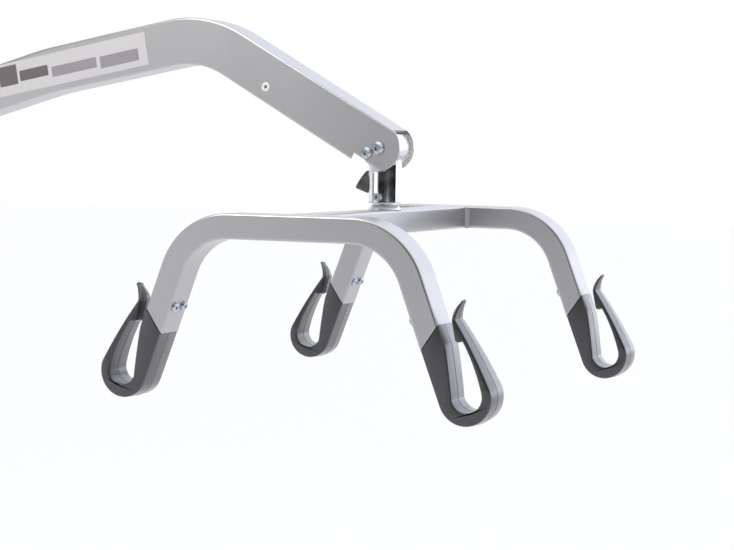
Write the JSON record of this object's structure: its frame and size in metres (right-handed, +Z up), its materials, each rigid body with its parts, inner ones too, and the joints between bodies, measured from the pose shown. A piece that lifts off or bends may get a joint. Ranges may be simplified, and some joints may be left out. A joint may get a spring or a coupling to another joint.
{
  "type": "patient lift hoist arm",
  "caption": "Bent box-section lifting arm with a swinging, swivelling quick-release hanger and a spreader with sling hooks.",
  "frame": {"origin": "centre of the mast pivot bore, on the arm's middle plane", "axes": "+X from the mast pivot out towards the hanger, +Y across the arm along the mast pivot, +Z up"},
  "size_m": [1.174, 0.52, 0.4704],
  "materials": {
    "painted_steel": "satin silver-grey powder coat",
    "plain_steel": "plain",
    "zinc_steel": "bright zinc plate",
    "black_nylon": "satin moulded",
    "black_plastic": "satin moulded",
    "cap_plastic": "fine texture",
    "white_nylon": "moulded",
    "label_film": "clear film",
    "chrome_tube": "polished",
    "bright_casting": "satin plated",
    "bright_bolts": "bright",
    "bearing_plastic": "moulded acetal"
  },
  "bodies": {
    "boom": {"boom_tube": "painted_steel", "mast_sleeve": "painted_steel", "mast_bush_near": "bearing_plastic", "mast_bush_far": "bearing_plastic", "rear_cap": "cap_plastic", "actuator_lug": "painted_steel", "grommet_near": "white_nylon", "grommet_far": "white_nylon", "label_film": "label_film", "pivot_bolt": "bright_bolts", "pivot_nut": "zinc_steel", "stop_bolt": "bright_bolts", "stop_nut": "zinc_steel", "side_washer_near": "bearing_plastic", "side_washer_far": "bearing_plastic"},
    "hanger": {"pivot_head": "bright_casting", "socket_tube": "chrome_tube", "barrel_bush": "bearing_plastic", "lower_bush": "bearing_plastic", "upper_bush": "bearing_plastic", "bush_screws": "bright_bolts", "latch_pin": "zinc_steel", "latch_spring": "zinc_steel"},
    "latch": {"latch_lever": "black_plastic"},
    "spreader": {"cross_beam": "painted_steel", "front_bar": "painted_steel", "rear_bar": "painted_steel", "bar_welds": "painted_steel", "spindle_collar": "bright_casting", "spindle": "zinc_steel", "swivel_washer": "bearing_plastic", "hook_front_left": "black_nylon", "hook_core_front_left": "plain_steel", "hook_screws_front_left": "zinc_steel", "hook_front_right": "black_nylon", "hook_core_front_right": "plain_steel", "hook_screws_front_right": "zinc_steel", "hook_rear_left": "black_nylon", "hook_core_rear_left": "plain_steel", "hook_screws_rear_left": "zinc_steel", "hook_rear_right": "black_nylon", "hook_core_rear_right": "plain_steel", "hook_screws_rear_right": "zinc_steel"}
  },
  "joints": [
    {"name": "hanger_swing", "type": "hinge", "parent": "boom", "child": "hanger", "pos_m": [0.87, 0, 0], "axis": [0, 1, 0], "range_deg": [-45, 35]},
    {"name": "spreader_swivel", "type": "hinge", "parent": "hanger", "child": "spreader", "pos_m": [0.87, 0, -0.0778], "axis": [0, 0, 1], "continuous": true},
    {"name": "latch_press", "type": "hinge", "parent": "hanger", "child": "latch", "pos_m": [0.853, 0, -0.0333], "axis": [0, 1, 0], "range_deg": [0, 13], "stiffness_Nm_per_rad": 0.06, "springref_deg": -20.05}
  ]
}
